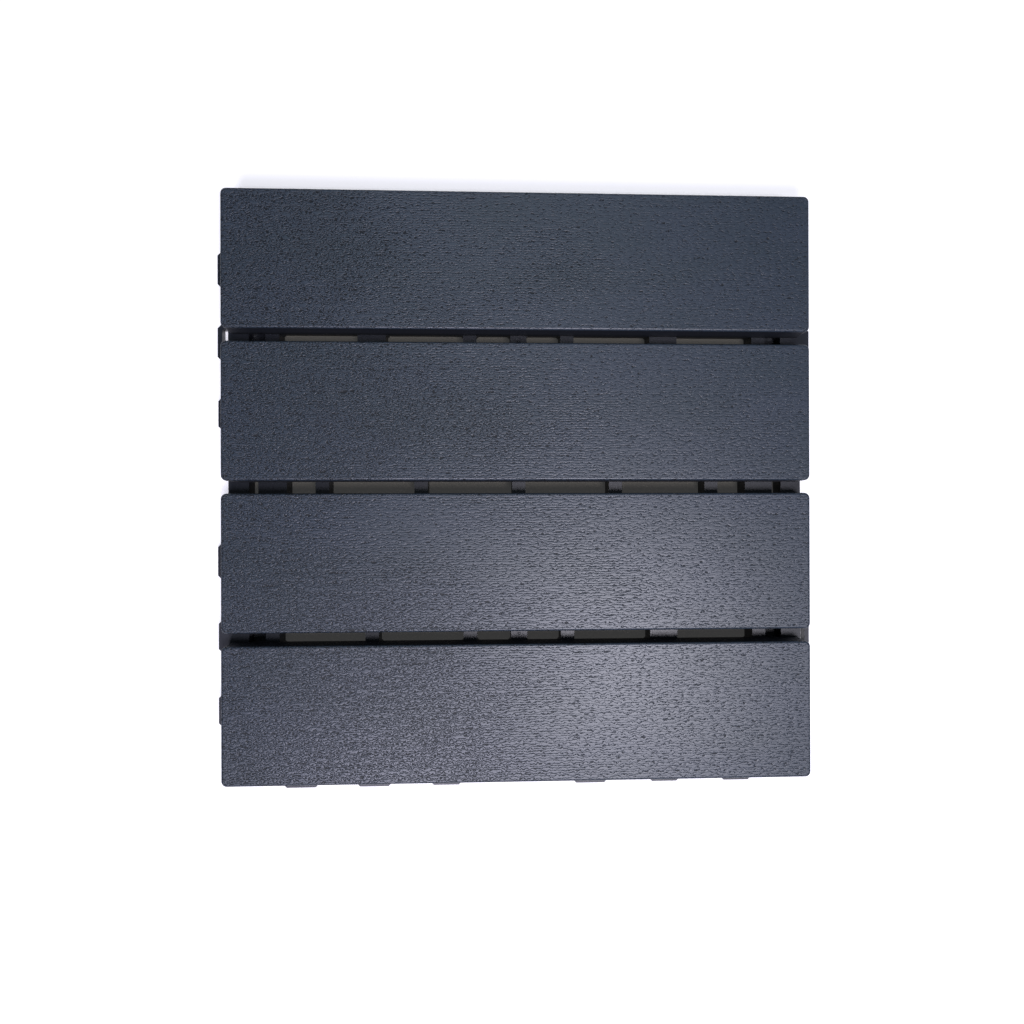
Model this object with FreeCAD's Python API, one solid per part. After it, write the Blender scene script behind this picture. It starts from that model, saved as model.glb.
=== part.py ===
"""Interlocking deck tile: four hollow moulded slats snapped on to one moulded lattice base.

X runs along the slats, Z points up, and the origin lies on the ground under the middle of the tile.
All sizes are in millimetres.
"""

import FreeCAD, Part
import math
import os

from FreeCAD import Vector

# The square of slats, and the joint to the next tile
TILE = 300.0
SLAT_COUNT = 4
SLAT_GAP = 6.0

# Slats: hollow mouldings, open underneath, narrower at the top than at the seat
SLAT_HEIGHT = 13.0
SLAT_SKIN = 2.6
SLAT_WALL = 2.2
SLAT_DRAFT = 0.22
SLAT_CORNER = 3.0
SLAT_EDGE = 1.2
SLAT_RIB = 1.6
SLAT_RIB_RELIEF = 1.0
SLAT_RIB_SPREAD = 23.0

# Base: one moulding, a plate of windows with a skirt round each window
BASE_HEIGHT = 12.0
BASE_SKIN = 2.0
BASE_WALL = 2.0
BASE_RIM = 10.5
BASE_CORNER = 3.0
GAP_WINDOW = 9.4
WEB = 2.4
SPINE = 12.0
TIE = 7.0
GATE_TIE = 8.5
WIDE_TIE = 14.5
POCKET_FLOOR = 4.0
WINDOW_CORNER = 1.2
NARROWEST_WINDOW = 2.0
DRAIN_RISE = 1.5
CORNER_PAD = 12.0

# Round mark that the moulding gate leaves on each of the two gate ties
GATE_MARK_RADIUS = 2.0
GATE_MARK_DEPTH = 0.4

# Snaps: split legs under each slat, with a barb on each leg, and their slots in the base
SNAP_LENGTH = 8.0
SNAP_LEG = 1.6
SNAP_SLIT = 1.4
SNAP_CATCH = 0.9
SNAP_TIP = 2.8
SNAP_CLEARANCE = 0.2

# Pegs and loops that join one tile to the next
PEG_THICKNESS = 4.0
PEG_WIDTH = 13.0
PEG_FOOT = 0.5
PEG_LEAD_IN = 0.8
CARRIER_THICKNESS = 3.0
CARRIER_MARGIN = 2.0
CARRIER_CORNER = 2.0
PEG_CLEARANCE = 0.3
PEG_SIDE_CLEARANCE = 0.5
LOOP_BAR = 2.4
LOOP_LEG = 3.0
LOOP_HEIGHT = 5.0
LOOP_CORNER = 2.5
NOTCH_CLEARANCE = 1.0

# Where things stand, counted in lattice modules of a third of the slat spacing
SNAP_STATIONS = (-3, -1, 1, 3)
CROSS_RIB_STATIONS = (-4, -2, 0, 2, 4)
LOOP_STATIONS = (-4.5, -3.0, 1.5)

# What sets one slat gap apart from another, by its number: wide ties, gate ties, and ends closed below
WIDE_TIE_STATIONS = {0: (3,), 1: (-5, 5), 2: (-3, 3)}
GATE_TIE_STATIONS = {0: (0,), 2: (0,)}
POCKET_ENDS = {0: (-1, 1), 2: (-1, 1)}

# How far a cutting block runs past the faces that it cuts
OVERCUT = 1.0

# Sizes that follow from those above
slat_width = (TILE - (SLAT_COUNT - 1) * SLAT_GAP) / SLAT_COUNT
slat_spacing = slat_width + SLAT_GAP
module = slat_spacing / 3
half = TILE / 2
window_limit = half - BASE_RIM
slat_centres = [-half + slat_width / 2 + i * slat_spacing for i in range(SLAT_COUNT)]
base_ceiling = BASE_HEIGHT - BASE_SKIN
joint_centre = half + SLAT_GAP / 2


def rounded_outline(x0, x1, y0, y1, z, radius):
    """A closed wire round a rectangle, with arcs of one radius at its corners."""
    edges = []
    slant = radius * (1 - math.sqrt(0.5))
    turns = [(x1, y0, -1, 1), (x1, y1, -1, -1), (x0, y1, 1, -1), (x0, y0, 1, 1)]
    previous = Vector(x0 + radius, y0, z)
    for x, y, sx, sy in turns:
        along_x = Vector(x + sx * radius, y, z)
        along_y = Vector(x, y + sy * radius, z)
        middle = Vector(x + sx * slant, y + sy * slant, z)
        start, end = (along_x, along_y) if abs(previous.y - y) < 1e-9 else (along_y, along_x)
        edges.append(Part.makeLine(previous, start))
        edges.append(Part.Arc(start, middle, end).toShape())
        previous = end
    return Part.Wire(edges)


def block(x0, x1, y0, y1, z0, z1, corner=0.0):
    """An upright prism on a rectangle, with rounded upright edges where a corner radius is given."""
    if corner <= 0:
        return Part.makeBox(x1 - x0, y1 - y0, z1 - z0, Vector(x0, y0, z0))
    face = Part.Face(rounded_outline(x0, x1, y0, y1, z0, corner))
    return face.extrude(Vector(0, 0, z1 - z0))


def chamfered_block(x0, x1, y0, y1, z0, z1, cut):
    """An upright prism on a rectangle whose corners are cut off at 45 degrees, by nothing if cut is 0."""
    if cut <= 0:
        return block(x0, x1, y0, y1, z0, z1)
    corners = [(x0 + cut, y0), (x1 - cut, y0), (x1, y0 + cut), (x1, y1 - cut),
               (x1 - cut, y1), (x0 + cut, y1), (x0, y1 - cut), (x0, y0 + cut)]
    wire = Part.makePolygon([Vector(x, y, z0) for x, y in corners + corners[:1]])
    return Part.Face(wire).extrude(Vector(0, 0, z1 - z0))


def square_outline(x, y, z):
    corners = [(-x, -y), (x, -y), (x, y), (-x, y), (-x, -y)]
    return Part.makePolygon([Vector(cx, cy, z) for cx, cy in corners])


def upright_cylinder(radius, x, y, z0, z1):
    return Part.makeCylinder(radius, z1 - z0, Vector(x, y, z0))


def window_rows():
    """The lattice rows from one edge to the other: low edge, high edge and index of the slat gap, if any."""
    rows = []
    for i, centre in enumerate(slat_centres):
        bay_edge = slat_spacing / 2 - GAP_WINDOW / 2 - WEB
        low = -window_limit if i == 0 else centre - bay_edge
        high = window_limit if i == SLAT_COUNT - 1 else centre + bay_edge
        rows.append((low, centre - SPINE / 2, None))
        rows.append((centre + SPINE / 2, high, None))
        if i < SLAT_COUNT - 1:
            gap = centre + slat_spacing / 2
            rows.append((gap - GAP_WINDOW / 2, gap + GAP_WINDOW / 2, i))
    return rows


def ties_in_row(index, gap):
    """Place and width of each tie in a row. The rows are bonded like brickwork, and some ties are wider."""
    shift = (index + 1) % 2
    count = int(window_limit / module) + 2
    ties = {n: TIE for n in range(-count, count + 1) if (n + shift) % 2 == 0}
    for station in GATE_TIE_STATIONS.get(gap, ()):
        ties[station] = GATE_TIE
    for station in WIDE_TIE_STATIONS.get(gap, ()):
        ties[station] = WIDE_TIE
    return [(n * module, width) for n, width in sorted(ties.items())]


def window_places():
    """The rectangle of every window in the lattice, and the slat gap that it shows in, if any."""
    places = []
    for index, (low, high, gap) in enumerate(window_rows()):
        start = -window_limit
        for x, width in ties_in_row(index, gap) + [(2 * TILE, TIE)]:
            end = min(x - width / 2, window_limit)
            if end - start > NARROWEST_WINDOW:
                places.append((start, end, low, high, gap))
            start = max(start, x + width / 2)
    return places


def window_floor(x0, x1, gap):
    """Windows are open below. The pockets, beside the connectors at the ends of some gaps, have a floor."""
    side = -1 if x0 <= -window_limit else 1 if x1 >= window_limit else 0
    return POCKET_FLOOR if side in POCKET_ENDS.get(gap, ()) else -OVERCUT


def lattice():
    """The plate with its windows, hollowed from below so that a skirt is left round each window."""
    places = window_places()
    windows = []
    skirts = []
    for x0, x1, y0, y1, gap in places:
        floor = window_floor(x0, x1, gap)
        corner_cut = 0.0 if gap is None else WINDOW_CORNER
        windows.append(chamfered_block(x0, x1, y0, y1, floor, BASE_HEIGHT + OVERCUT, corner_cut))
        grown = (x0 - BASE_WALL, x1 + BASE_WALL, y0 - BASE_WALL, y1 + BASE_WALL)
        skirts.append(block(*grown, -2 * OVERCUT, BASE_HEIGHT + OVERCUT))
    plate = block(-half, half, -half, half, 0, BASE_HEIGHT, BASE_CORNER)
    inside = half - BASE_WALL
    hollow = block(-inside, inside, -inside, inside, -OVERCUT, base_ceiling)
    hollow = hollow.cut(Part.makeCompound(skirts))
    return plate.cut(Part.makeCompound(windows)).cut(hollow).cut(drain_relief())


def drain_relief():
    """Only the ties and the four corner pads reach the ground. Water runs out under all the rest."""
    feet = []
    for index, (low, high, gap) in enumerate(window_rows()):
        for x, width in ties_in_row(index, gap):
            if abs(x) + width / 2 < window_limit:
                foot = (x - width / 2, x + width / 2, low - WEB / 2, high + WEB / 2)
                feet.append(block(*foot, -2 * OVERCUT, DRAIN_RISE + OVERCUT))
    inner = half - CORNER_PAD
    for sx, sy in ((-1, -1), (-1, 1), (1, -1), (1, 1)):
        x0, x1 = sorted((sx * inner, sx * (half + 2 * OVERCUT)))
        y0, y1 = sorted((sy * inner, sy * (half + 2 * OVERCUT)))
        feet.append(block(x0, x1, y0, y1, -2 * OVERCUT, DRAIN_RISE + OVERCUT))
    reach = half + OVERCUT
    relief = block(-reach, reach, -reach, reach, -OVERCUT, DRAIN_RISE)
    return relief.cut(Part.makeCompound(feet))


def snap_slots():
    """Slots in the top of each spine, which the slats' snaps pass through."""
    reach_x = SNAP_LENGTH / 2 + SNAP_CLEARANCE
    reach_y = SNAP_SLIT / 2 + SNAP_LEG + SNAP_CLEARANCE
    slots = []
    for y in slat_centres:
        for x in [n * module for n in SNAP_STATIONS]:
            slots.append(block(x - reach_x, x + reach_x, y - reach_y, y + reach_y, 0, BASE_HEIGHT + OVERCUT))
    return slots


def gate_marks():
    """A shallow round recess on top of each gate tie."""
    marks = []
    for gap, stations in GATE_TIE_STATIONS.items():
        y = slat_centres[gap] + slat_spacing / 2
        for n in stations:
            bottom = BASE_HEIGHT - GATE_MARK_DEPTH
            marks.append(upright_cylinder(GATE_MARK_RADIUS, n * module, y, bottom, BASE_HEIGHT + OVERCUT))
    return marks


def peg(y):
    """On the +X side: a carrier plate level with the top of the base, and a blade hanging from it."""
    outer = joint_centre + PEG_THICKNESS / 2
    reach = PEG_WIDTH / 2 + CARRIER_MARGIN
    underside = BASE_HEIGHT - CARRIER_THICKNESS
    carrier = block(half - BASE_WALL, outer, y - reach, y + reach, underside, BASE_HEIGHT)
    free = [e for e in carrier.Edges if is_upright(e) and e.Vertexes[0].X > half]
    carrier = carrier.makeChamfer(CARRIER_CORNER, free)
    inner = outer - PEG_THICKNESS
    root = underside + CARRIER_THICKNESS / 2
    blade = block(inner, outer, y - PEG_WIDTH / 2, y + PEG_WIDTH / 2, PEG_FOOT, root)
    tip = [e for e in blade.Edges if abs(e.BoundBox.ZMax - PEG_FOOT) < 1e-6]
    return carrier.fuse(blade.makeChamfer(PEG_LEAD_IN, tip))


def loop(y):
    """On the +X side: a low eye that the next tile's peg drops into."""
    hole_x = PEG_THICKNESS / 2 + PEG_CLEARANCE
    hole_y = PEG_WIDTH / 2 + PEG_SIDE_CLEARANCE
    outer_x = joint_centre + hole_x + LOOP_BAR
    outer_y = hole_y + LOOP_LEG
    eye = block(half - BASE_WALL, outer_x, y - outer_y, y + outer_y, 0, LOOP_HEIGHT)
    free = [e for e in eye.Edges if is_upright(e) and e.Vertexes[0].X > half]
    eye = eye.makeChamfer(LOOP_CORNER, free)
    hole = (joint_centre - hole_x, joint_centre + hole_x, y - hole_y, y + hole_y)
    return eye.cut(block(*hole, -OVERCUT, LOOP_HEIGHT + OVERCUT))


def notch(y):
    """Room in the rim's wall beside a peg, for the bar of the next tile's loop."""
    reach = PEG_WIDTH / 2 + PEG_SIDE_CLEARANCE + LOOP_LEG + NOTCH_CLEARANCE
    return block(half - BASE_WALL, half, y - reach, y + reach, -OVERCUT, LOOP_HEIGHT + NOTCH_CLEARANCE)


def is_upright(edge):
    box = edge.BoundBox
    return box.XLength < 1e-6 and box.YLength < 1e-6


def round_all_sides(shapes):
    """Copies of what stands on the +X side, turned to all four sides."""
    turned = []
    for quarter in range(4):
        for shape in shapes:
            copy = shape.copy()
            copy.rotate(Vector(0, 0, 0), Vector(0, 0, 1), 90 * quarter)
            turned.append(copy)
    return turned


def base_grid():
    peg_stations = [-n * module for n in LOOP_STATIONS]
    pegs = round_all_sides([peg(y) for y in peg_stations])
    loops = round_all_sides([loop(n * module) for n in LOOP_STATIONS])
    notches = round_all_sides([notch(y) for y in peg_stations])
    body = lattice().cut(Part.makeCompound(notches + snap_slots() + gate_marks()))
    return body.fuse(pegs + loops).removeSplitter()


def snap_legs(ceiling):
    """A pair of legs from the slat's ceiling, whose barbs catch under the top of the base's spine."""
    inner = SNAP_SLIT / 2
    outer = inner + SNAP_LEG
    profile = [(inner, ceiling), (outer, ceiling), (outer, base_ceiling), (outer + SNAP_CATCH, base_ceiling),
               (inner + SNAP_LEG / 2, base_ceiling - SNAP_TIP), (inner, base_ceiling - SNAP_TIP)]
    legs = []
    for side in (-1, 1):
        wire = Part.makePolygon([Vector(-SNAP_LENGTH / 2, side * y, z) for y, z in profile + profile[:1]])
        legs.append(Part.Face(wire).extrude(Vector(SNAP_LENGTH, 0, 0)))
    return legs


def slat_ribs(top):
    """Two ribs along the slat and five across it, a little short of the seat."""
    foot = BASE_HEIGHT + SLAT_RIB_RELIEF
    thick = SLAT_RIB / 2
    spread = SLAT_RIB_SPREAD / 2
    ribs = [block(-half, half, y - thick, y + thick, foot, top) for y in (-spread, spread)]
    for n in CROSS_RIB_STATIONS:
        x = n * module
        ribs.append(block(x - thick, x + thick, -slat_width / 2, slat_width / 2, foot, top))
    return ribs


def slat(y):
    """A tray turned upside down, with ribs and snaps inside."""
    top = BASE_HEIGHT + SLAT_HEIGHT
    ceiling = top - SLAT_SKIN
    width = slat_width / 2
    lower = rounded_outline(-half, half, -width, width, BASE_HEIGHT, SLAT_CORNER)
    lean = SLAT_DRAFT
    upper = rounded_outline(-half + lean, half - lean, -width + lean, width - lean, top, SLAT_CORNER - lean)
    outside = Part.makeLoft([lower, upper], True, True)
    brim = [e for e in outside.Edges if e.BoundBox.ZMin > top - 1e-6]
    outside = outside.makeFillet(SLAT_EDGE, brim)
    room_x = half - SLAT_WALL
    room_y = width - SLAT_WALL
    mouth = square_outline(room_x, room_y, BASE_HEIGHT)
    room = Part.makeLoft([mouth, square_outline(room_x - lean, room_y - lean, ceiling)], True, True)
    body = outside.cut(room.cut(Part.makeCompound(slat_ribs(top))))
    for n in SNAP_STATIONS:
        for leg in snap_legs(ceiling):
            leg.translate(Vector(n * module, 0, 0))
            body = body.fuse(leg)
    body.translate(Vector(0, y, 0))
    return body


def save(name, shape):
    shape.exportStep(os.path.join("parts", name + ".step"))


os.makedirs("parts", exist_ok=True)
save("base_grid", base_grid())
for number, centre in enumerate(reversed(slat_centres), 1):
    save("slat_" + str(number), slat(centre))
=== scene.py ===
# %% [markdown]
# # Interlocking deck tile
#
# The tile is a square of four plastic slats on a lattice base. It lies flat on the floor and is seen
# from straight above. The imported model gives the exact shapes, and this script gives them their skin:
# the moulded wood grain, the smooth plastic of the base, the stubs of the gates, and the light.
# Lengths in the comments and in the named sizes are millimetres. Blender works in metres.

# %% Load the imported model
import math

import bmesh
import bpy
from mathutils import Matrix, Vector


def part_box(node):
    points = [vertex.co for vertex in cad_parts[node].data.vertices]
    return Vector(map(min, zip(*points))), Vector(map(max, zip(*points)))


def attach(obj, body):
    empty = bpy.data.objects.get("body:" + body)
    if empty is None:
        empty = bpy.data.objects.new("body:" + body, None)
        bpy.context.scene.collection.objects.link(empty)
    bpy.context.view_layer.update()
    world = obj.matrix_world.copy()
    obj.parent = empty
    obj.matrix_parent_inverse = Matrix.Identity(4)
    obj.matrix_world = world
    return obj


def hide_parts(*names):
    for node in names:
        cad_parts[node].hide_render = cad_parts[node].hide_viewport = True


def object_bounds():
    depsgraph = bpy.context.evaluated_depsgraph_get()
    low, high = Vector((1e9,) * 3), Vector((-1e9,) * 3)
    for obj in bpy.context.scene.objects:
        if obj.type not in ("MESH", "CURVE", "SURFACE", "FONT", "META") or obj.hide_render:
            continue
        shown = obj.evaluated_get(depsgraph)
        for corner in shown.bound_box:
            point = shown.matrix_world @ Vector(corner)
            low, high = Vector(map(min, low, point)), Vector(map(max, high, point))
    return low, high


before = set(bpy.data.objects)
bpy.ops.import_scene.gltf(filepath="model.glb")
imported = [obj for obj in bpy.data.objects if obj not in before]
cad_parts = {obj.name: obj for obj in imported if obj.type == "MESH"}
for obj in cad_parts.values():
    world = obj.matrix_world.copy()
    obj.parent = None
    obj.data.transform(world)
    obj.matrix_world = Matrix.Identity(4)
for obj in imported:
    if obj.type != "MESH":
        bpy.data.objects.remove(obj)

MM = 0.001
cad_low, cad_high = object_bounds()
print("nodes:", ", ".join(sorted(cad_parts)))

# %% [markdown]
# ## Camera
#
# The picture is taken by hand with the wide lens of a phone, about 400 mm above the middle of the
# tile. The lens is short, so the gaps show their walls more towards the edges of the picture, and a
# small tilt makes the right side a little shorter. A camera with the same place, tilt and lens
# gives the same picture, with no shift and no depth of field.

# %% Camera
CAMERA_PLACE = (-20.5, -13.5, 405.2)
CAMERA_TILT = (0.11, -2.46, -0.15)
SENSOR_WIDTH = 36.0
LENS = 26.4

camera_data = bpy.data.cameras.new("camera")
camera_data.sensor_width = SENSOR_WIDTH
camera_data.lens = LENS
camera_data.clip_start = 10 * MM
camera = bpy.data.objects.new("camera", camera_data)
camera.location = [MM * x for x in CAMERA_PLACE]
camera.rotation_euler = [math.radians(x) for x in CAMERA_TILT]
bpy.context.scene.collection.objects.link(camera)
bpy.context.scene.camera = camera
print("camera", round(CAMERA_PLACE[2] - cad_high.z / MM, 1), "mm above the slats")

# %% [markdown]
# ## Helpers for colours and nodes
#
# Colours are written as sRGB hex values, as a paint programme shows them, and one function turns them
# into the linear values that a renderer needs. One more function adds a node to a tree, sets it up and
# links it, so that each material reads as a short list of steps.

# %% Helpers for colours and nodes
def linear(hex_colour):
    """The linear RGBA value of an sRGB colour such as #2a333d."""
    channels = [int(hex_colour[i:i + 2], 16) / 255 for i in (1, 3, 5)]
    return [c / 12.92 if c <= 0.04045 else ((c + 0.055) / 1.055) ** 2.4 for c in channels] + [1.0]


def add_node(tree, kind, inputs=None, **settings):
    """Add a node and set its properties. Each input gets a value, or a link from a socket, or a link
    from the first output of a node."""
    node = tree.nodes.new(kind)
    for name, value in settings.items():
        setattr(node, name, value)
    for key, value in (inputs or {}).items():
        socket = node.inputs[key]
        if isinstance(value, bpy.types.Node):
            value = value.outputs[0]
        if isinstance(value, bpy.types.NodeSocket):
            tree.links.new(value, socket)
        else:
            socket.default_value = value
    return node


def new_material(name, preview):
    """An empty node material, with the colour that solid view shows, and its tree."""
    material = bpy.data.materials.new(name)
    material.use_nodes = True
    material.diffuse_color = linear(preview)
    material.node_tree.nodes.clear()
    return material, material.node_tree


def per_length(length, width):
    """The scale that counts metres in pattern lengths, given in millimetres along and across."""
    return 1 / (length * MM), 1 / (width * MM), 0.0


print("sRGB #808080 is", round(linear("#808080")[0], 3), "of full light")

# %% [markdown]
# ## Wood grain as a rule
#
# The face of each slat is cut into the steel of the mould, so every slat carries a shallow relief of
# the same depth. To the right the relief is long, flat wrinkles with thin grooves between them, which
# run along the slat like the grain of sawn wood. To the left it breaks up into small pebbles. Such a
# relief could be painted or sculpted, but it follows a rule. Evenly spaced grooves run along the slat,
# and noise pushes them aside. Noise that is stretched along the slat gives wrinkles. Stronger noise
# that is hardly stretched bends the grooves so much that they close round pebbles. A second noise
# leaves out parts of the grooves.
#
# The rule is written once, as a function that adds its nodes to any tree. Geometry Nodes use it to
# move the points of the slat's face, and the material uses it to shade the finest part of the relief.

# %% The sizes of the grain
GRAIN_SEED = 7.0
GROOVE_PITCH = 1.25
# How far noise pushes the grooves aside, in pitches.
WRINKLE_WANDER = 3.4
PEBBLE_WANDER = 4.2
# Each noise: its length along the slat and across it, what is added to the seed, and its detail.
GRAIN_NOISES = {
    "patches": (96.0, 60.0, 0.0, 1.0),
    "gentle": (2.7, 1.75, 0.0, 2.0),
    "wild": (2.0, 1.6, 0.0, 1.0),
    "breaks": (2.7, 1.25, 3.0, 1.0),
}
# Pebbles give way to wrinkles as this sum of place and patches passes from one bound to the other.
RISE_PER_METRE = 4.5
RISE_PER_PATCH = 1.6
ONLY_PEBBLES = 0.3
ONLY_WRINKLES = 1.15
# A groove's flat bottom and its edge, in pitches from its middle, and how much wider it is on each
# side between pebbles.
GROOVE_BOTTOM = 0.02
GROOVE_EDGE = 0.22
PEBBLE_EXTRA = 0.075
# Where this noise is high, a groove between wrinkles is narrower by the last value on each side.
BREAK_STARTS = 0.42
BREAK_FULL = 0.6
BREAK_NARROWS = 0.12

print("grooves every", GROOVE_PITCH, "mm")


# %% The grain rule
def grain_height(tree, position, seed):
    """The height of the grain, from 0 in a groove to 1 on a ridge."""
    noise = {}
    for name, (length, width, shift, detail) in GRAIN_NOISES.items():
        place = add_node(tree, "ShaderNodeVectorMath", {
            0: position, 1: per_length(length, width)}, operation="MULTIPLY")
        own_seed = add_node(tree, "ShaderNodeMath", {0: seed, 1: shift}, operation="ADD")
        noise[name] = add_node(tree, "ShaderNodeTexNoise", {
            "Vector": place, "W": own_seed, "Scale": 1.0, "Detail": detail}, noise_dimensions="4D")
    along, across = add_node(tree, "ShaderNodeSeparateXYZ", {0: position}).outputs[:2]

    # The share of wrinkles, from 0 among the pebbles to 1.
    patches = add_node(tree, "ShaderNodeMath", {
        0: noise["patches"], 1: RISE_PER_PATCH}, operation="MULTIPLY")
    rise = add_node(tree, "ShaderNodeMath", {
        0: along, 1: RISE_PER_METRE, 2: patches}, operation="MULTIPLY_ADD")
    share = add_node(tree, "ShaderNodeMapRange", {
        "Value": rise, "From Min": ONLY_PEBBLES, "From Max": ONLY_WRINKLES},
        interpolation_type="SMOOTHSTEP")

    # The distance to the middle of the nearest groove, in pitches.
    wild = add_node(tree, "ShaderNodeMath", {
        0: noise["wild"], 1: PEBBLE_WANDER}, operation="MULTIPLY")
    gentle = add_node(tree, "ShaderNodeMath", {
        0: noise["gentle"], 1: WRINKLE_WANDER}, operation="MULTIPLY")
    wander = add_node(tree, "ShaderNodeMix", {0: share, 2: wild, 3: gentle}, data_type="FLOAT")
    phase = add_node(tree, "ShaderNodeMath", {
        0: across, 1: 1 / (GROOVE_PITCH * MM), 2: wander}, operation="MULTIPLY_ADD")
    place = add_node(tree, "ShaderNodeMath", {0: phase}, operation="FRACT")
    off_middle = add_node(tree, "ShaderNodeMath", {0: place, 1: 0.5}, operation="SUBTRACT")
    distance = add_node(tree, "ShaderNodeMath", {0: off_middle}, operation="ABSOLUTE")

    # Wider grooves between pebbles, and breaks in the grooves between wrinkles.
    breaks = add_node(tree, "ShaderNodeMapRange", {
        "Value": noise["breaks"], "From Min": BREAK_STARTS, "From Max": BREAK_FULL},
        interpolation_type="SMOOTHSTEP")
    narrower = add_node(tree, "ShaderNodeMath", {
        0: breaks, 1: BREAK_NARROWS, 2: PEBBLE_EXTRA}, operation="MULTIPLY_ADD")
    shift = add_node(tree, "ShaderNodeMath", {
        0: share, 1: narrower, 2: -PEBBLE_EXTRA}, operation="MULTIPLY_ADD")
    shifted = add_node(tree, "ShaderNodeMath", {0: distance, 1: shift}, operation="ADD")
    return add_node(tree, "ShaderNodeMapRange", {
        "Value": shifted, "From Min": GROOVE_BOTTOM, "From Max": GROOVE_EDGE},
        interpolation_type="SMOOTHSTEP")


# %% [markdown]
# ## Plastics
#
# Slats and base are moulded from polypropylene with a dark grey-blue pigment. Polypropylene is a
# little waxy: light that falls on it straight is mostly swallowed by the pigment, and what the eye
# sees is a broad, soft sheen. Its index of refraction is 1.49. The slats come out of an etched mould,
# so their finish is matt. The base comes out of a plain one, is smoother and has a tighter sheen.
# The roughness of both starts from 0.4, which is usual for moulded polypropylene, and is matched to the
# real tile from there. The base's colour is darker than the slats': that is painted shade, as from above
# the base shows only down in the shaded gaps.
#
# The grooves of the grain are finer than the points of the slat's face. A narrow groove shades itself,
# and the material paints that shade: it makes the groove darker and takes part of its sheen away. It
# also makes the groove rougher.

# %% The looks of the slats
POLYPROPYLENE_IOR = 1.49
# The pigment is spread unevenly. These bounds of a noise give the darker and the lighter parts.
PIGMENT_DARK, PIGMENT_LIGHT = 0.3, 0.7
PATTERN_DETAIL = 2.0

GRAIN_BUMP = 0.07
# The grain runs out between these two heights, so that the slat's walls stay smooth. Below them the
# walls get painted shade.
WALL_TOP = 23.6
FACE_HEIGHT = 24.7
SLAT_COLOURS = ("#28323c", "#2c3541")
SLAT_CLOUD = (70.0, 25.0)
SLAT_CLOUD_SEED = 2.0
# Painted shade: the darker colour of the grooves, which shade themselves.
GROOVE_PAINTED_SHADE = "#11161b"
# Painted shade: the darker colour of the slat's walls, which stand in the shade of the gaps.
WALL_PAINTED_SHADE = "#0c121c"
# The heights of the grain that still count as groove, and that count as open face.
IN_GROOVE, OPEN_FACE = 0.15, 0.6
GROOVE_ROUGHNESS, FACE_ROUGHNESS, WALL_ROUGHNESS = 0.5, 0.345, 0.62
# The lower sheen in the grooves is painted shade.
GROOVE_SHEEN_PAINTED_SHADE, FACE_SHEEN = 0.3, 0.56
# The mould is etched about 0.05 mm fine. That is too fine to show, so it is drawn at 0.35 mm.
ETCH_SIZE = 0.35
ETCH_ROUGHNESS = 0.08
ETCH_SEED = 5.0

print("slat pigment", SLAT_COLOURS)


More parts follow.
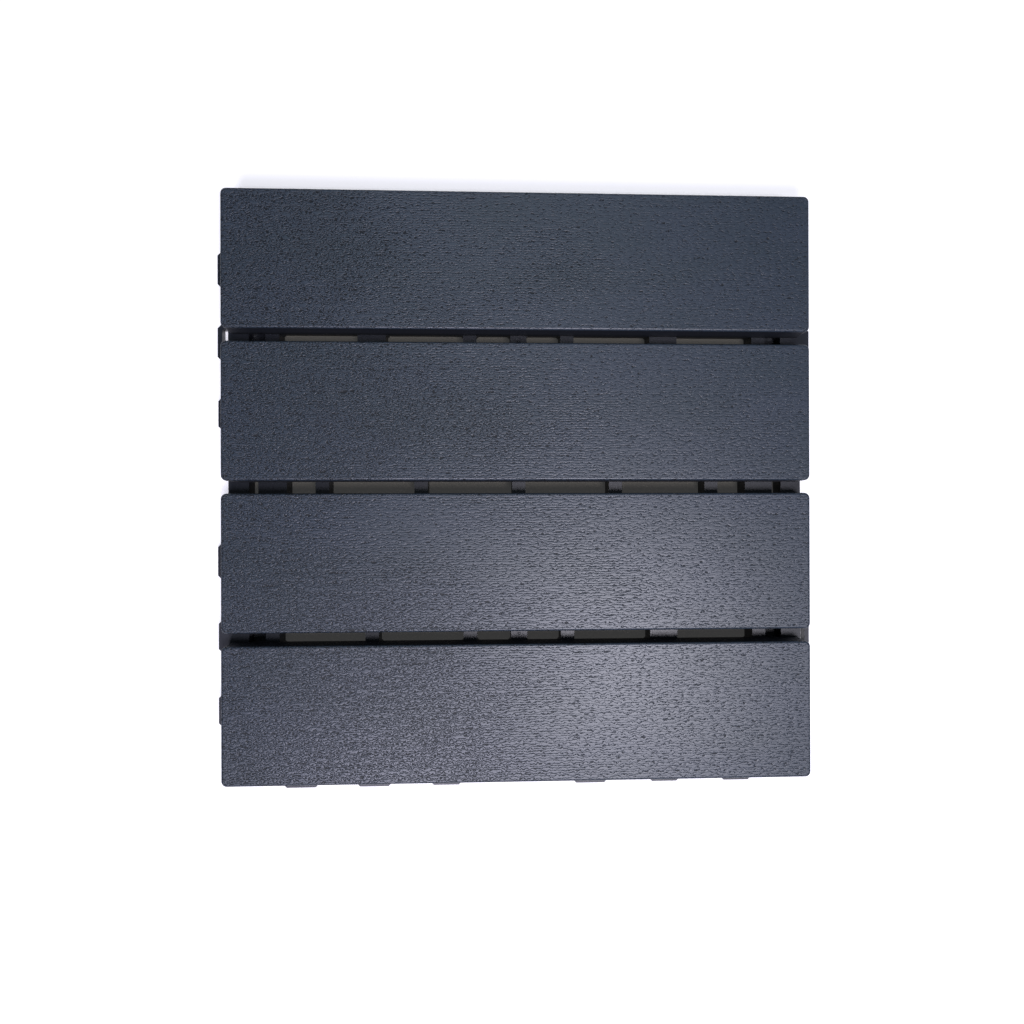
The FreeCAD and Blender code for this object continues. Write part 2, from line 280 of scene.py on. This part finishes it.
# %% Moulded polypropylene with wood grain
def moulded_wood_grain():
    material, tree = new_material("moulded_polypropylene_wood_grain", "#38414c")
    position = add_node(tree, "ShaderNodeTexCoord").outputs["Object"]
    up = add_node(tree, "ShaderNodeSeparateXYZ", {0: position}).outputs[2]
    face = add_node(tree, "ShaderNodeMapRange", {
        "Value": up, "From Min": WALL_TOP * MM, "From Max": FACE_HEIGHT * MM},
        interpolation_type="SMOOTHSTEP")
    grain_here = grain_height(tree, position, GRAIN_SEED)
    height = add_node(tree, "ShaderNodeMix", {0: face, 2: 1.0, 3: grain_here}, data_type="FLOAT")
    open_face = add_node(tree, "ShaderNodeMapRange", {
        "Value": height, "From Min": IN_GROOVE, "From Max": OPEN_FACE},
        interpolation_type="SMOOTHSTEP")

    # The colour: uneven pigment, with painted shade in the grooves and on the walls.
    cloud_place = add_node(tree, "ShaderNodeVectorMath", {
        0: position, 1: per_length(*SLAT_CLOUD)}, operation="MULTIPLY")
    cloud = add_node(tree, "ShaderNodeTexNoise", {
        "Vector": cloud_place, "W": SLAT_CLOUD_SEED, "Scale": 1.0,
        "Detail": PATTERN_DETAIL}, noise_dimensions="4D")
    lighter = add_node(tree, "ShaderNodeMapRange", {
        "Value": cloud, "From Min": PIGMENT_DARK, "From Max": PIGMENT_LIGHT},
        interpolation_type="SMOOTHSTEP")
    dark, light = (linear(colour) for colour in SLAT_COLOURS)
    pigment = add_node(tree, "ShaderNodeMix", {
        0: lighter, 6: dark, 7: light}, data_type="RGBA").outputs[2]
    groove_shaded = add_node(tree, "ShaderNodeMix", {
        0: open_face, 6: linear(GROOVE_PAINTED_SHADE), 7: pigment}, data_type="RGBA").outputs[2]
    colour = add_node(tree, "ShaderNodeMix", {
        0: face, 6: linear(WALL_PAINTED_SHADE), 7: groove_shaded}, data_type="RGBA").outputs[2]

    # The sheen: broken up by the etching and broader in the grooves, where painted shade also makes it
    # weaker.
    etch_place = add_node(tree, "ShaderNodeVectorMath", {
        0: position, 1: per_length(ETCH_SIZE, ETCH_SIZE)}, operation="MULTIPLY")
    etch = add_node(tree, "ShaderNodeTexNoise", {
        "Vector": etch_place, "W": ETCH_SEED, "Scale": 1.0,
        "Detail": PATTERN_DETAIL}, noise_dimensions="4D")
    polish = add_node(tree, "ShaderNodeMapRange", {
        "Value": open_face, "To Min": GROOVE_ROUGHNESS, "To Max": FACE_ROUGHNESS})
    matt = add_node(tree, "ShaderNodeMath", {
        0: etch, 1: ETCH_ROUGHNESS, 2: polish}, operation="MULTIPLY_ADD")
    roughness = add_node(tree, "ShaderNodeMix", {
        0: face, 2: WALL_ROUGHNESS, 3: matt}, data_type="FLOAT")
    sheen = add_node(tree, "ShaderNodeMapRange", {
        "Value": open_face, "To Min": GROOVE_SHEEN_PAINTED_SHADE, "To Max": FACE_SHEEN})
    relief = add_node(tree, "ShaderNodeBump", {
        "Strength": 1.0, "Distance": GRAIN_BUMP * MM, "Height": height})
    shader = add_node(tree, "ShaderNodeBsdfPrincipled", {
        "Base Color": colour, "Roughness": roughness, "IOR": POLYPROPYLENE_IOR, "Normal": relief,
        "Specular IOR Level": sheen})
    add_node(tree, "ShaderNodeOutputMaterial", {"Surface": shader})
    return material


slat_plastic = moulded_wood_grain()
print("made", slat_plastic.name)

# %% The looks of the base
# The base's pigment, darkened with painted shade of the gaps.
BASE_COLOURS_PAINTED_SHADE = ("#090f1a", "#0c121d")
BASE_CLOUD = (30.0, 30.0)
BASE_CLOUD_SEED = 3.0
# A plain mould leaves marks of about 0.1 mm. They are too fine to show and are drawn at 0.6 mm.
MARK_SIZE = 0.6
MARK_SEED = 4.0
MARK_BUMP = 0.03
MARK_STRENGTH = 0.4
# These bounds of the marks' noise give the lowest and the highest roughness.
MARK_LOW, MARK_HIGH = 0.3, 0.7
BASE_ROUGHNESS = (0.36, 0.46)

print("base pigment", BASE_COLOURS_PAINTED_SHADE)


# %% Smooth moulded polypropylene
def moulded_smooth():
    material, tree = new_material("moulded_polypropylene_smooth_painted_shade", "#303a45")
    position = add_node(tree, "ShaderNodeTexCoord").outputs["Object"]
    cloud_place = add_node(tree, "ShaderNodeVectorMath", {
        0: position, 1: per_length(*BASE_CLOUD)}, operation="MULTIPLY")
    cloud = add_node(tree, "ShaderNodeTexNoise", {
        "Vector": cloud_place, "W": BASE_CLOUD_SEED, "Scale": 1.0,
        "Detail": PATTERN_DETAIL}, noise_dimensions="4D")
    lighter = add_node(tree, "ShaderNodeMapRange", {
        "Value": cloud, "From Min": PIGMENT_DARK, "From Max": PIGMENT_LIGHT},
        interpolation_type="SMOOTHSTEP")
    # Pigment darkened with painted shade.
    dark, light = (linear(colour) for colour in BASE_COLOURS_PAINTED_SHADE)
    pigment = add_node(tree, "ShaderNodeMix", {
        0: lighter, 6: dark, 7: light}, data_type="RGBA").outputs[2]
    mark_place = add_node(tree, "ShaderNodeVectorMath", {
        0: position, 1: per_length(MARK_SIZE, MARK_SIZE)}, operation="MULTIPLY")
    marks = add_node(tree, "ShaderNodeTexNoise", {
        "Vector": mark_place, "W": MARK_SEED, "Scale": 1.0,
        "Detail": PATTERN_DETAIL}, noise_dimensions="4D")
    roughness = add_node(tree, "ShaderNodeMapRange", {
        "Value": marks, "From Min": MARK_LOW, "From Max": MARK_HIGH,
        "To Min": BASE_ROUGHNESS[0], "To Max": BASE_ROUGHNESS[1]})
    relief = add_node(tree, "ShaderNodeBump", {
        "Strength": MARK_STRENGTH, "Distance": MARK_BUMP * MM, "Height": marks})
    shader = add_node(tree, "ShaderNodeBsdfPrincipled", {
        "Base Color": pigment, "Roughness": roughness, "IOR": POLYPROPYLENE_IOR, "Normal": relief})
    add_node(tree, "ShaderNodeOutputMaterial", {"Surface": shader})
    return material


base_plastic = moulded_smooth()
print("made", base_plastic.name)

# %% [markdown]
# ## Slats
#
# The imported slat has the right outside, ribs and snaps, and its top is one flat face. The grain needs
# points to move, so the flat face is taken out of a copy of the slat and a fine grid is set in its
# place. A narrow smooth border stays between the grid and the rounded brim, as on the real slat,
# where the polished edge of the mould ends the grain. The grid's cells are shorter across the slat
# than along it, because the grain is.
#
# The Geometry Nodes tree then pushes the points of the grid down into the grooves. A fade, stored on
# the points, keeps the border and the rest of the slat where they are.

# %% The grid of a slat's face
CELL_X = 0.68
CELL_Y = 0.32
SMOOTH_BORDER = 0.2
BRIM = 1.42
# The grain fades in over this many rows. A cell is twice as long as it is wide.
FADE_ROWS = 2
SHARP_ANGLE = 35.0
MERGE_WITHIN = 0.001
FLAT_WITHIN = 0.01

print("the face has cells of", CELL_X, "by", CELL_Y, "mm")


# %% Helpers that join the grid to the slat
def ring_of(edges, start):
    """The points of a closed chain of edges, anticlockwise from the point nearest to start."""
    first = min((v for e in edges for v in e.verts), key=lambda v: (v.co - start).length)
    ring, chain = [first], set(edges)
    while True:
        step = next((e for e in ring[-1].link_edges if e in chain), None)
        if step is None:
            break
        chain.remove(step)
        ring.append(step.other_vert(ring[-1]))
    ring.pop()
    area = sum(a.co.x * b.co.y - b.co.x * a.co.y for a, b in zip(ring, ring[1:] + ring[:1]))
    return ring if area > 0 else ring[:1] + ring[:0:-1]


def join_rings(bm, outer, inner):
    """Fill the band between two rings with triangles, each time with the shorter step."""
    i = j = 0
    while i < len(outer) or j < len(inner):
        a, b = outer[i % len(outer)], inner[j % len(inner)]
        next_a, next_b = outer[(i + 1) % len(outer)], inner[(j + 1) % len(inner)]
        outer_is_shorter = (next_a.co - b.co).length < (next_b.co - a.co).length
        if j == len(inner) or (i < len(outer) and outer_is_shorter):
            bm.faces.new((a, next_a, b))
            i += 1
        else:
            bm.faces.new((a, next_b, b))
            j += 1


# %% A slat's blank, with a fine grid for its face
def slat_blank(name):
    """A copy of a packed slat whose flat top is a grid, with a fade attribute for the grain."""
    low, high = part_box(name)
    bm = bmesh.new()
    bm.from_mesh(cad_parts[name].data)
    bmesh.ops.remove_doubles(bm, verts=bm.verts, dist=MERGE_WITHIN * MM)
    flat = [f for f in bm.faces if all(v.co.z > high.z - FLAT_WITHIN * MM for v in f.verts)]
    bmesh.ops.delete(bm, geom=flat, context="FACES_ONLY")
    outline = [e for e in bm.edges if e.is_boundary]
    for edge in bm.edges:
        if len(edge.link_faces) == 2 and edge.calc_face_angle() > math.radians(SHARP_ANGLE):
            edge.smooth = False
    fade = bm.verts.layers.float.new("fade")
    inset = (BRIM + SMOOTH_BORDER) * MM
    x0, x1, y0, y1 = low.x + inset, high.x - inset, low.y + inset, high.y - inset
    columns = round((x1 - x0) / (CELL_X * MM))
    rows = round((y1 - y0) / (CELL_Y * MM))
    grid = [[bm.verts.new((x0 + (x1 - x0) * i / columns, y0 + (y1 - y0) * j / rows, high.z))
             for i in range(columns + 1)] for j in range(rows + 1)]
    for j, row in enumerate(grid):
        for i, vert in enumerate(row):
            rows_in = min(i / 2, (columns - i) / 2, j, rows - j)
            vert[fade] = min(1.0, rows_in / FADE_ROWS)
    for j in range(rows):
        for i in range(columns):
            bm.faces.new((grid[j][i], grid[j][i + 1], grid[j + 1][i + 1], grid[j + 1][i]))
    rim = (grid[0] + [row[-1] for row in grid[1:-1]] + grid[-1][::-1]
           + [row[0] for row in reversed(grid[1:-1])])
    join_rings(bm, ring_of(outline, rim[0].co), rim)
    for face in bm.faces:
        face.smooth = True
    bmesh.ops.recalc_face_normals(bm, faces=bm.faces)
    mesh = bpy.data.meshes.new(name + "_grained")
    open_edges = sum(1 for e in bm.edges if not e.is_manifold)
    bm.to_mesh(mesh)
    bm.free()
    print(name, "blank:", len(mesh.polygons), "faces,", open_edges, "open edges")
    return mesh


# %% [markdown]
# Each Geometry Nodes tree starts with its named inputs. The grain's tree takes the depth of the grain,
# its seed and the finish. It ends in Realize Instances and Set Material, and its result is turned into
# a plain mesh.

# %% Helpers for Geometry Nodes
def new_geometry_tree(name, inputs):
    """A Geometry Nodes tree with one geometry output, and the sockets of its named inputs."""
    tree = bpy.data.node_groups.new(name, "GeometryNodeTree")
    for label, kind in inputs:
        tree.interface.new_socket(label, in_out="INPUT", socket_type="NodeSocket" + kind)
    tree.interface.new_socket("Geometry", in_out="OUTPUT", socket_type="NodeSocketGeometry")
    return tree, add_node(tree, "NodeGroupInput").outputs


def set_inputs(modifier, values):
    """Set a Geometry Nodes modifier's inputs, found by name and set by identifier."""
    for item in modifier.node_group.interface.items_tree:
        if item.in_out == "INPUT" and item.name in values:
            modifier[item.identifier] = values[item.name]


def baked(piece):
    """Turn a piece with a modifier into a plain mesh and take the modifier off."""
    bpy.context.view_layer.update()
    evaluated = piece.evaluated_get(bpy.context.evaluated_depsgraph_get())
    mesh = bpy.data.meshes.new_from_object(evaluated)
    piece.modifiers.clear()
    piece.data = mesh


# %% The grain tree
GRAIN_DEPTH = 0.08
GRAIN_INPUTS = (("Geometry", "Geometry"), ("Depth", "Float"), ("Seed", "Float"),
                ("Finish", "Material"))


def grain_tree():
    tree, given = new_geometry_tree("moulded_grain", GRAIN_INPUTS)
    position = add_node(tree, "GeometryNodeInputPosition").outputs[0]
    height = grain_height(tree, position, given["Seed"])
    below = add_node(tree, "ShaderNodeMath", {0: height, 1: 1.0}, operation="SUBTRACT")
    drop = add_node(tree, "ShaderNodeMath", {0: below, 1: given["Depth"]}, operation="MULTIPLY")
    fade = add_node(tree, "GeometryNodeInputNamedAttribute", {"Name": "fade"}, data_type="FLOAT")
    faded = add_node(tree, "ShaderNodeMath", {0: drop, 1: fade}, operation="MULTIPLY")
    offset = add_node(tree, "ShaderNodeCombineXYZ", {2: faded})
    moved = add_node(tree, "GeometryNodeSetPosition", {
        "Geometry": given["Geometry"], "Offset": offset})
    whole = add_node(tree, "GeometryNodeRealizeInstances", {0: moved})
    finished = add_node(tree, "GeometryNodeSetMaterial", {
        "Geometry": whole, "Material": given["Finish"]})
    add_node(tree, "NodeGroupOutput", {0: finished})
    return tree


grain = grain_tree()
print("grain tree:", len(grain.nodes), "nodes")

# %% The four slats
for name in ("slat_1", "slat_2", "slat_3", "slat_4"):
    piece = bpy.data.objects.new(name + "_grained", slat_blank(name))
    bpy.context.scene.collection.objects.link(piece)
    modifier = piece.modifiers.new("grain", "NODES")
    modifier.node_group = grain
    set_inputs(modifier, {"Depth": GRAIN_DEPTH * MM, "Seed": GRAIN_SEED, "Finish": slat_plastic})
    baked(piece)
    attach(piece, "root")
    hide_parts(name)
    print(piece.name, len(piece.data.vertices), "points")

# %% [markdown]
# ## Base
#
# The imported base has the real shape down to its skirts, feet, pegs and loops, so it stays as it is and
# gets the smooth plastic.

# %% Base
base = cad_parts["base_grid"]
base.data.materials.clear()
base.data.materials.append(base_plastic)
print("base:", len(base.data.polygons), "faces")

# %% [markdown]
# The plastic comes into the mould at the middle ties of the first and the third gap. The gate leaves a
# shallow round recess there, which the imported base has, and a small broken stub of plastic in it.

# %% Gate stubs
STUB_PLACE = 76.5
RECESS_FLOOR = 11.6
STUB_HEIGHT = 0.3
STUB_FOOT = 0.85
STUB_TOP = 0.5
STUB_SIDES = 32
SUNK = 0.05
STUB_INPUTS = (("Foot radius", "Float"), ("Top radius", "Float"), ("Height", "Float"),
               ("Finish", "Material"))


def stub_tree():
    tree, given = new_geometry_tree("gate_stubs", STUB_INPUTS)
    places = add_node(tree, "GeometryNodeMeshLine", {
        "Count": 2, "Start Location": (0.0, -STUB_PLACE * MM, (RECESS_FLOOR - SUNK) * MM),
        "Offset": (0.0, 2 * STUB_PLACE * MM, 0.0)})
    stub = add_node(tree, "GeometryNodeMeshCone", {
        "Vertices": STUB_SIDES, "Side Segments": 2, "Radius Top": given["Top radius"],
        "Radius Bottom": given["Foot radius"], "Depth": given["Height"]})
    both = add_node(tree, "GeometryNodeInstanceOnPoints", {"Points": places, "Instance": stub})
    whole = add_node(tree, "GeometryNodeRealizeInstances", {0: both})
    finished = add_node(tree, "GeometryNodeSetMaterial", {
        "Geometry": whole, "Material": given["Finish"]})
    add_node(tree, "NodeGroupOutput", {0: finished})
    return tree


stubs = bpy.data.objects.new("gate_stubs", bpy.data.meshes.new("gate_stubs"))
bpy.context.scene.collection.objects.link(stubs)
modifier = stubs.modifiers.new("stubs", "NODES")
modifier.node_group = stub_tree()
set_inputs(modifier, {"Foot radius": STUB_FOOT * MM, "Top radius": STUB_TOP * MM,
                      "Height": (STUB_HEIGHT + SUNK) * MM, "Finish": base_plastic})
baked(stubs)
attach(stubs, "root")
stub_top = max(v.co.z for v in stubs.data.vertices)
print("gate stubs:", len(stubs.data.polygons), "faces, top at", round(stub_top / MM, 2), "mm")

# %% [markdown]
# ## Floor and light
#
# The floor is a plain white sheet. Under the tile lies the brown-grey floor that shows through the
# gaps. Both glow faintly to the camera. The white sheet's glow keeps it evenly white. The brown-grey
# floor's glow is painted light, which keeps it visible in the shade at the bottom of the windows.
#
# The light comes from soft lamps high above. Each is placed by the point in the plane of the slats
# where the camera sees its sheen. The key lamp's sheen lies on the lower right of the slats. The sheens
# of the side, front and ceiling lamps lie to the right of it, below the tile and above the tile. A dim
# sky fills the shadows. For the camera alone the sky is as white as the floor.

# %% Floor
# Each sheet: half its width, its height, its finish, its colour, and how much it glows.
SHEETS = {
    "floor": (560.0, -0.1, "white_floor", "#f4f4f4", 0.25),
    # The brown-grey floor's glow is painted light in the shade under the tile.
    "floor_under_tile": (149.0, -0.05, "brown_grey_floor_painted_glow", "#5f5b52", 0.035),
}


def floor_finish(name, colour, glow):
    """A matt surface whose glow shows to the camera and in reflections, and lights nothing else."""
    material, tree = new_material(name, colour)
    matt = add_node(tree, "ShaderNodeBsdfDiffuse", {"Color": linear(colour)})
    rays = add_node(tree, "ShaderNodeLightPath").outputs
    in_mirror = add_node(tree, "ShaderNodeMath", {
        0: rays["Is Glossy Ray"], 1: rays["Is Transmission Ray"]}, operation="MAXIMUM")
    seen = add_node(tree, "ShaderNodeMath", {
        0: rays["Is Camera Ray"], 1: in_mirror}, operation="MAXIMUM")
    strength = add_node(tree, "ShaderNodeMath", {0: seen, 1: glow}, operation="MULTIPLY")
    light = add_node(tree, "ShaderNodeEmission", {
        "Color": linear("#ffffff"), "Strength": strength})
    both = add_node(tree, "ShaderNodeAddShader", {0: matt, 1: light})
    add_node(tree, "ShaderNodeOutputMaterial", {"Surface": both})
    return material


for name, (reach, z, finish, colour, glow) in SHEETS.items():
    mesh = bpy.data.meshes.new(name)
    corners = [(-reach, -reach), (reach, -reach), (reach, reach), (-reach, reach)]
    mesh.from_pydata([(x * MM, y * MM, z * MM) for x, y in corners], [], [(0, 1, 2, 3)])
    mesh.materials.append(floor_finish(finish, colour, glow))
    sheet = bpy.data.objects.new(name, mesh)
    bpy.context.scene.collection.objects.link(sheet)
    print(name, "laid,", 2 * reach, "mm wide")

# %% Sky
SKY_LEVEL = 0.08
SKY_COLOUR = "#dfefff"

world = bpy.data.worlds.new("sky")
world.use_nodes = True
tree = world.node_tree
tree.nodes.clear()
sky = add_node(tree, "ShaderNodeBackground", {"Color": linear(SKY_COLOUR), "Strength": SKY_LEVEL})
backdrop = add_node(tree, "ShaderNodeBackground", {"Color": linear("#ffffff"), "Strength": 1.0})
seen = add_node(tree, "ShaderNodeLightPath").outputs["Is Camera Ray"]
surroundings = add_node(tree, "ShaderNodeMixShader", {0: seen, 1: sky, 2: backdrop})
add_node(tree, "ShaderNodeOutputWorld", {"Surface": surroundings})
bpy.context.scene.world = world
print("sky at", SKY_LEVEL)

# %% Lamps
LAMP_HEIGHT = 1300.0
# Each lamp: level, width, colour, and the point on the slats where its sheen lies for the camera.
LAMPS = {
    "key": (0.68, 370.0, "#f6f3ff", (47.0, -88.0)),
    "side": (0.06, 400.0, "#f6f3ff", (110.0, -110.0)),
    "front": (0.60, 400.0, "#efeaff", (-60.0, -195.0)),
    "ceiling": (0.12, 900.0, "#e6f6ff", (-15.0, 142.0)),
}

mirrored_camera = Vector(camera.location)
mirrored_camera.z = 2 * cad_high.z - camera.location.z
for name, (level, width, colour, sheen) in LAMPS.items():
    lamp_data = bpy.data.lights.new(name, "AREA")
    lamp_data.shape = "DISK"
    lamp_data.size = width * MM
    lamp_data.color = linear(colour)[:3]
    place = Vector((sheen[0] * MM, sheen[1] * MM, cad_high.z))
    toward = (place - mirrored_camera) * (LAMP_HEIGHT * MM / (place.z - mirrored_camera.z))
    # A white sheet under the lamp's full light gets an irradiance of pi times the level.
    lamp_data.energy = level * math.pi ** 2 * toward.length_squared / toward.normalized().z
    lamp = bpy.data.objects.new(name, lamp_data)
    lamp.location = place + toward
    lamp.rotation_euler = toward.to_track_quat("Z", "Y").to_euler()
    bpy.context.scene.collection.objects.link(lamp)
    print(name, round(lamp_data.energy, 1), "W at", [round(x, 3) for x in lamp.location])

bpy.context.scene.view_settings.view_transform = "Standard"
